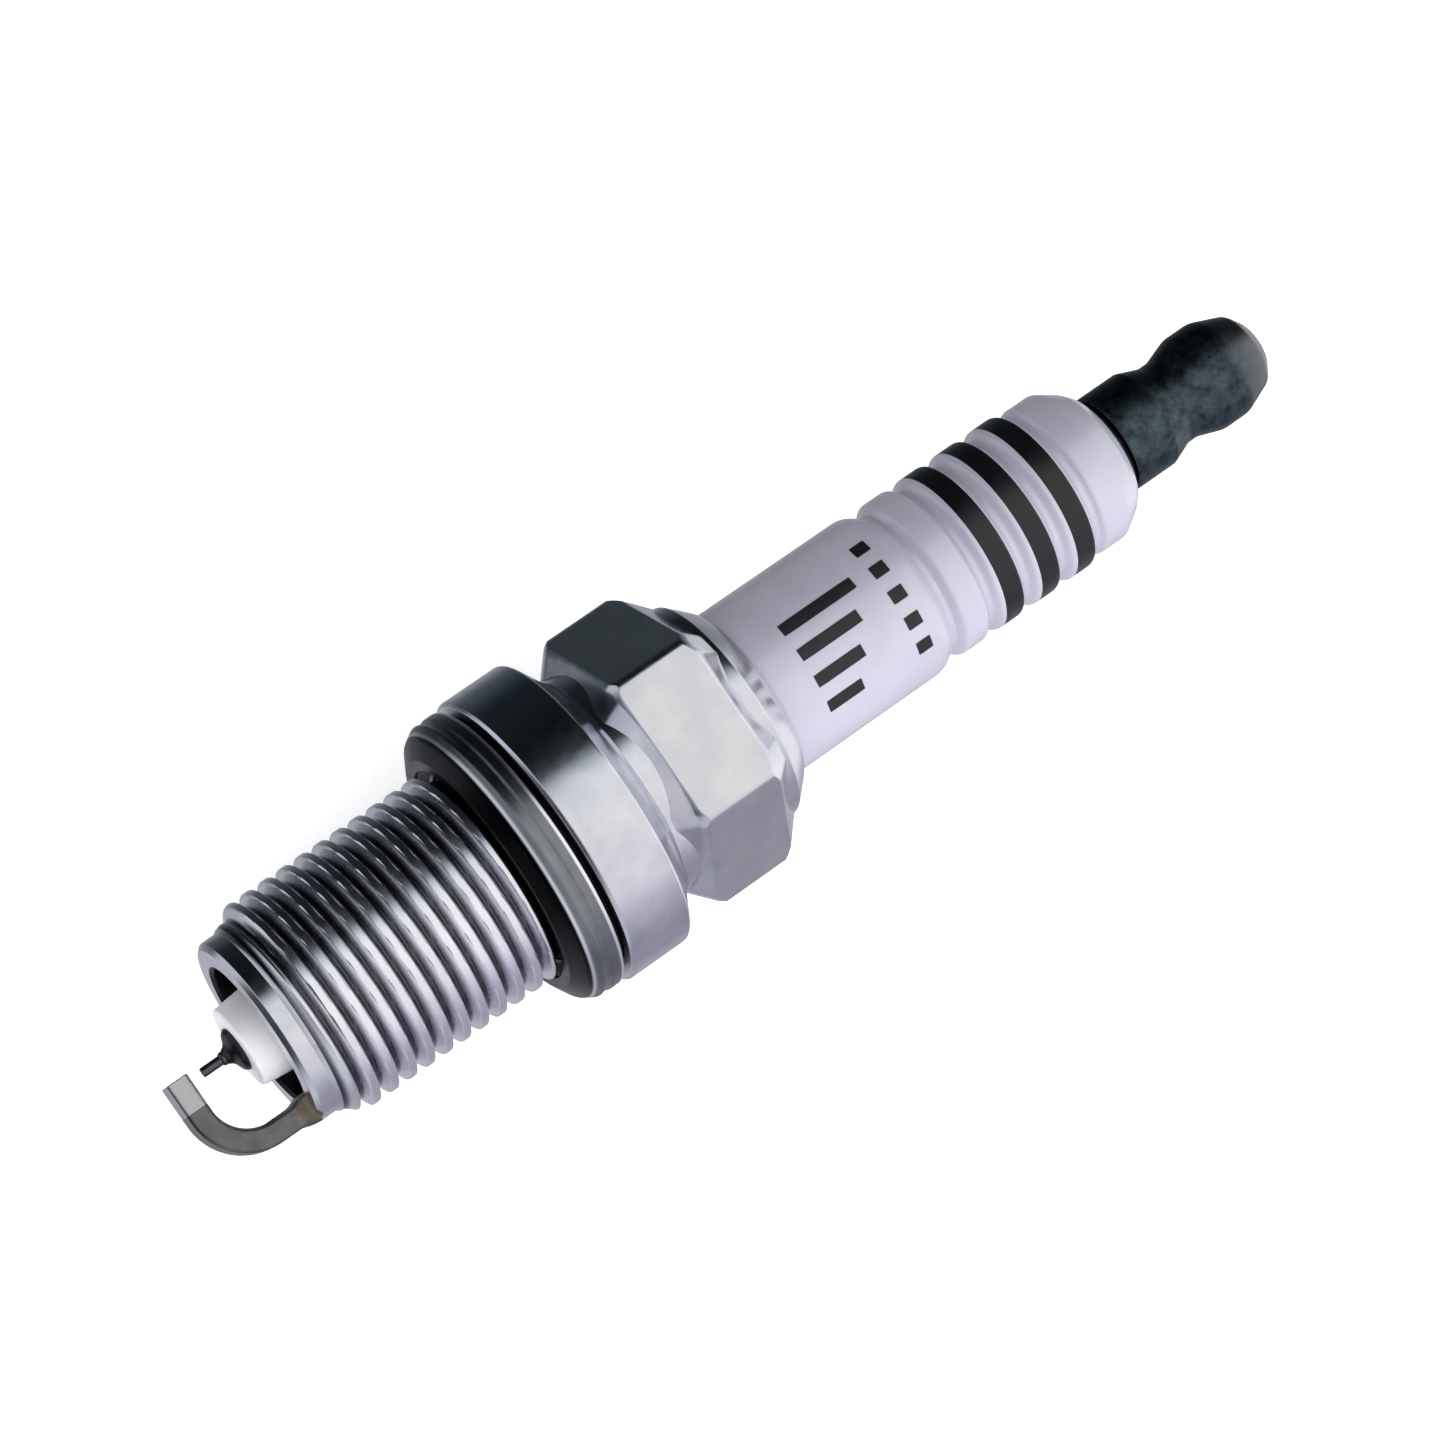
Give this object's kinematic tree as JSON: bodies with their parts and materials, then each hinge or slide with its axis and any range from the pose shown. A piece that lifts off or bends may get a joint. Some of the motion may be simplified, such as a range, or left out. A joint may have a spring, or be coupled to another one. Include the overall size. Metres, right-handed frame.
{
  "type": "spark plug",
  "caption": "Resistor spark plug with a metric threaded shell, hexagon, captive gasket, ribbed ceramic insulator, fine-wire electrode, bent ground strap and removable terminal nut.",
  "frame": {"origin": "on the plug's axis, in the gasket's sealing face, which is the plane that meets the cylinder head", "axes": "+X along the plug's axis towards the terminal, -X towards the spark gap; +Z square to one flat of the hexagon; the ground strap's leg is on the -Y side"},
  "size_m": [0.0787, 0.019, 0.019],
  "materials": {
    "plated_steel": "bright zinc plating over turned steel",
    "nickel_alloy": "drawn nickel alloy, satin",
    "gasket_steel": "rolled and folded plated strip",
    "glazed_alumina": "white alumina under clear glaze, with black glaze bands on three ribs",
    "soft_copper": "annealed copper",
    "ring_wire": "drawn iron wire",
    "pressed_talc": "pressed powder",
    "weld_alloy": "melted and frozen alloy",
    "iridium": "fine drawn wire",
    "glass_seal": "fused conductive glass",
    "resistor_body": "fired carbon and glass mix",
    "dark_steel": "dark nickel-plated turned steel"
  },
  "bodies": {
    "plug": {"metal_shell": "plated_steel", "ground_electrode": "nickel_alloy", "insulator": "glazed_alumina", "seat_washer": "soft_copper", "lower_packing_ring": "ring_wire", "talc_powder": "pressed_talc", "upper_packing_ring": "ring_wire", "centre_electrode": "nickel_alloy", "copper_core": "soft_copper", "tip_weld": "weld_alloy", "iridium_tip": "iridium", "lower_glass_seal": "glass_seal", "resistor": "resistor_body", "upper_glass_seal": "glass_seal", "terminal_stud": "dark_steel"},
    "loose_gasket": {"gasket": "gasket_steel"},
    "nut": {"terminal_nut": "dark_steel"}
  },
  "joints": [
    {"name": "terminal_nut_unscrew", "type": "slide", "parent": "plug", "child": "nut", "axis": [1, 0, 0], "range_m": [0, 0.0095]},
    {"name": "gasket_play", "type": "slide", "parent": "plug", "child": "loose_gasket", "axis": [-1, 0, 0], "range_m": [0, 0.00045]}
  ]
}
